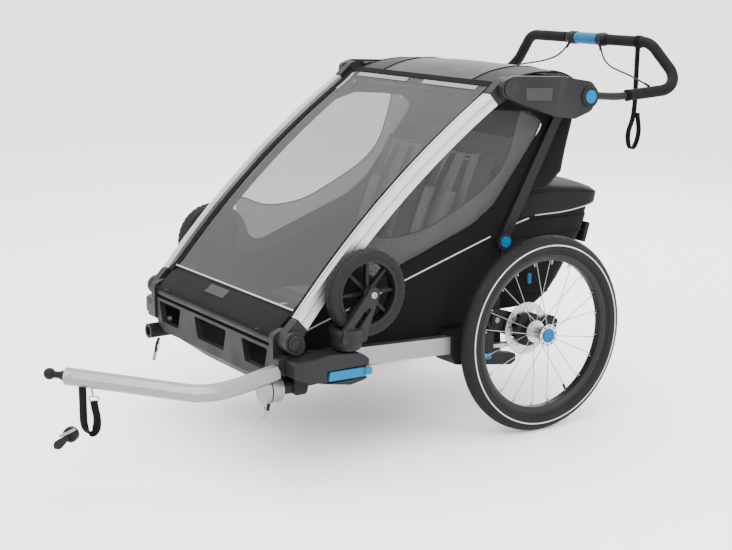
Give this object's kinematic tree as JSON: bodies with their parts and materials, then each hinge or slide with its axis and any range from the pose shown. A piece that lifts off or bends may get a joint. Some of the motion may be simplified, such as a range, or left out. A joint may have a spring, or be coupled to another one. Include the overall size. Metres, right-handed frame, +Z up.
{
  "type": "child bicycle trailer",
  "caption": "Child bicycle trailer with folding frame, sprung rear wheels, parked stroller wheels, tilting handlebar, luggage bag and detachable tow arm.",
  "frame": {"origin": "middle of the ground outline, on the ground", "axes": "+Z up, the front and tow arm face -Y, the trailer's left side is +X"},
  "size_m": [0.834, 1.6862, 0.9709],
  "materials": {
    "silver_frame": "satin anodised",
    "black_casting": "fine grained moulding",
    "dark_plastic": "fine grained moulding",
    "panel_grey": "satin moulding",
    "black_fabric": "woven polyester",
    "grey_fabric": "woven polyester",
    "seat_fabric": "padded mesh fabric",
    "smoked_film": "clear smoked film",
    "tyre_rubber": "matt rubber",
    "rim_black": "satin black",
    "spoke_steel": "drawn steel",
    "hub_silver": "machined",
    "rotor_steel": "ground steel",
    "blue_plastic": "satin blue",
    "grip_foam": "closed-cell foam",
    "cable_black": "smooth sheath",
    "wheel_plastic": "moulded",
    "stroller_rubber": "matt rubber"
  },
  "bodies": {
    "chassis": {"side_rails": "silver_frame", "suspension_brackets": "black_casting", "floor_pan": "panel_grey", "nose_panel": "panel_grey", "front_knuckles": "dark_plastic", "front_wings": "dark_plastic", "hitch_receivers": "black_casting", "rear_uprights": "black_casting", "seat_base": "seat_fabric", "seat_back": "seat_fabric", "cabin_fabric": "black_fabric", "cargo_bag": "black_fabric", "cargo_bag_band": "black_fabric"},
    "front_frame": {"pillars": "silver_frame", "pillar_fittings": "dark_plastic", "front_cover": "smoked_film"},
    "shoulder": {"shoulder_brackets": "dark_plastic", "roof_canopy": "grey_fabric"},
    "strut_frame": {"rear_struts": "black_casting"},
    "handlebar": {"handlebar_tube": "black_casting", "handle_grips": "grip_foam", "brake_housings": "black_casting", "brake_cable_left": "cable_black", "brake_cable_right": "cable_black", "wrist_strap": "black_fabric"},
    "twist_grip": {"brake_twist": "blue_plastic"},
    "bag_lid": {"cargo_lid": "black_fabric"},
    "tow_arm": {"hitch_arm": "silver_frame", "hitch_coupling": "black_casting"},
    "suspension_left": {"suspension_arm_left": "black_casting", "leaf_spring_left": "silver_frame"},
    "wheel_left": {"tyre_left": "tyre_rubber", "rim_left": "rim_black", "spokes_left": "spoke_steel", "hub_left": "hub_silver", "brake_rotor_left": "rotor_steel", "spindle_left": "black_casting"},
    "wheel_button_left": {"hub_button_left": "blue_plastic"},
    "caster_fork_left": {"stroller_fork_left": "dark_plastic"},
    "caster_left": {"stroller_tyre_left": "stroller_rubber", "stroller_wheel_left": "wheel_plastic"},
    "paddle_left": {"release_paddle_left": "blue_plastic"},
    "strut_button_left": {"fold_button_left": "blue_plastic"},
    "bar_button_left": {"handle_button_left": "blue_plastic"},
    "suspension_right": {"suspension_arm_right": "black_casting", "leaf_spring_right": "silver_frame"},
    "wheel_right": {"tyre_right": "tyre_rubber", "rim_right": "rim_black", "spokes_right": "spoke_steel", "hub_right": "hub_silver", "brake_rotor_right": "rotor_steel", "spindle_right": "black_casting"},
    "wheel_button_right": {"hub_button_right": "blue_plastic"},
    "caster_fork_right": {"stroller_fork_right": "dark_plastic"},
    "caster_right": {"stroller_tyre_right": "stroller_rubber", "stroller_wheel_right": "wheel_plastic"},
    "paddle_right": {"release_paddle_right": "blue_plastic"},
    "strut_button_right": {"fold_button_right": "blue_plastic"},
    "bar_button_right": {"handle_button_right": "blue_plastic"}
  },
  "joints": [
    {"name": "fold", "type": "hinge", "parent": "chassis", "child": "front_frame", "pos_m": [0, -0.359, 0.327], "axis": [-1, 0, 0], "range_deg": [0, 26], "deforming": ["cabin_fabric", "seat_back", "cargo_bag_band", "cargo_lid"]},
    {"name": "shoulder_pivot", "type": "hinge", "parent": "front_frame", "child": "shoulder", "pos_m": [0, 0.247, 0.866], "axis": [1, 0, 0], "range_deg": [0, 42.4]},
    {"name": "strut_pivot", "type": "hinge", "parent": "chassis", "child": "strut_frame", "pos_m": [0, 0.281, 0.482], "axis": [-1, 0, 0], "range_deg": [0, 50.8]},
    {"name": "handlebar_angle", "type": "hinge", "parent": "shoulder", "child": "handlebar", "pos_m": [0, 0.497, 0.835], "axis": [1, 0, 0], "range_deg": [-30, 100]},
    {"name": "brake_twist_turn", "type": "hinge", "parent": "handlebar", "child": "twist_grip", "pos_m": [0, 0.814, 0.952], "axis": [1, 0, 0], "range_deg": [0, 45], "stiffness_Nm_per_rad": 0.6, "springref_deg": -17.19},
    {"name": "bag_lid_hinge", "type": "hinge", "parent": "chassis", "child": "bag_lid", "pos_m": [0, 0.358, 0.6], "axis": [1, 0, 0], "range_deg": [0, 55]},
    {"name": "tow_arm_release", "type": "slide", "parent": "chassis", "child": "tow_arm", "axis": [0, -1, 0], "range_m": [0, 0.075]},
    {"name": "suspension_left_swing", "type": "hinge", "parent": "chassis", "child": "suspension_left", "pos_m": [0.296, 0.259, 0.284], "axis": [1, 0, 0], "range_deg": [0, 12], "stiffness_Nm_per_rad": 90, "springref_deg": -17.19},
    {"name": "wheel_left_spin", "type": "hinge", "parent": "suspension_left", "child": "wheel_left", "pos_m": [0.374, 0.352, 0.25], "axis": [1, 0, 0], "continuous": true},
    {"name": "wheel_left_button_press", "type": "slide", "parent": "wheel_left", "child": "wheel_button_left", "axis": [-1, 0, 0], "range_m": [0, 0.004], "stiffness_N_per_m": 400, "springref_m": -0.004},
    {"name": "caster_left_lift_out", "type": "slide", "parent": "chassis", "child": "caster_fork_left", "axis": [0, 0, 1], "range_m": [0, 0.055]},
    {"name": "caster_left_spin", "type": "hinge", "parent": "caster_fork_left", "child": "caster_left", "pos_m": [0.375, -0.178, 0.424], "axis": [1, 0, 0], "continuous": true},
    {"name": "paddle_left_press", "type": "slide", "parent": "chassis", "child": "paddle_left", "axis": [-1, 0, 0], "range_m": [0, 0.003], "stiffness_N_per_m": 400, "springref_m": -0.004},
    {"name": "strut_left_button_press", "type": "slide", "parent": "strut_frame", "child": "strut_button_left", "axis": [-1, 0, 0], "range_m": [0, 0.0015], "stiffness_N_per_m": 400, "springref_m": -0.004},
    {"name": "bar_left_button_press", "type": "slide", "parent": "shoulder", "child": "bar_button_left", "axis": [-1, 0, 0], "range_m": [0, 0.004], "stiffness_N_per_m": 400, "springref_m": -0.004},
    {"name": "suspension_right_swing", "type": "hinge", "parent": "chassis", "child": "suspension_right", "pos_m": [-0.296, 0.259, 0.284], "axis": [1, 0, 0], "range_deg": [0, 12], "stiffness_Nm_per_rad": 90, "springref_deg": -17.19},
    {"name": "wheel_right_spin", "type": "hinge", "parent": "suspension_right", "child": "wheel_right", "pos_m": [-0.374, 0.352, 0.25], "axis": [1, 0, 0], "continuous": true},
    {"name": "wheel_right_button_press", "type": "slide", "parent": "wheel_right", "child": "wheel_button_right", "axis": [1, 0, 0], "range_m": [0, 0.004], "stiffness_N_per_m": 400, "springref_m": -0.004},
    {"name": "caster_right_lift_out", "type": "slide", "parent": "chassis", "child": "caster_fork_right", "axis": [0, 0, 1], "range_m": [0, 0.055]},
    {"name": "caster_right_spin", "type": "hinge", "parent": "caster_fork_right", "child": "caster_right", "pos_m": [-0.375, -0.178, 0.424], "axis": [1, 0, 0], "continuous": true},
    {"name": "paddle_right_press", "type": "slide", "parent": "chassis", "child": "paddle_right", "axis": [1, 0, 0], "range_m": [0, 0.003], "stiffness_N_per_m": 400, "springref_m": -0.004},
    {"name": "strut_right_button_press", "type": "slide", "parent": "strut_frame", "child": "strut_button_right", "axis": [1, 0, 0], "range_m": [0, 0.0015], "stiffness_N_per_m": 400, "springref_m": -0.004},
    {"name": "bar_right_button_press", "type": "slide", "parent": "shoulder", "child": "bar_button_right", "axis": [1, 0, 0], "range_m": [0, 0.004], "stiffness_N_per_m": 400, "springref_m": -0.004}
  ],
  "couplings": [
    {"joint": "shoulder_pivot", "follows": "fold", "ratio": 1.6252},
    {"joint": "strut_pivot", "follows": "fold", "ratio": 1.9445}
  ]
}
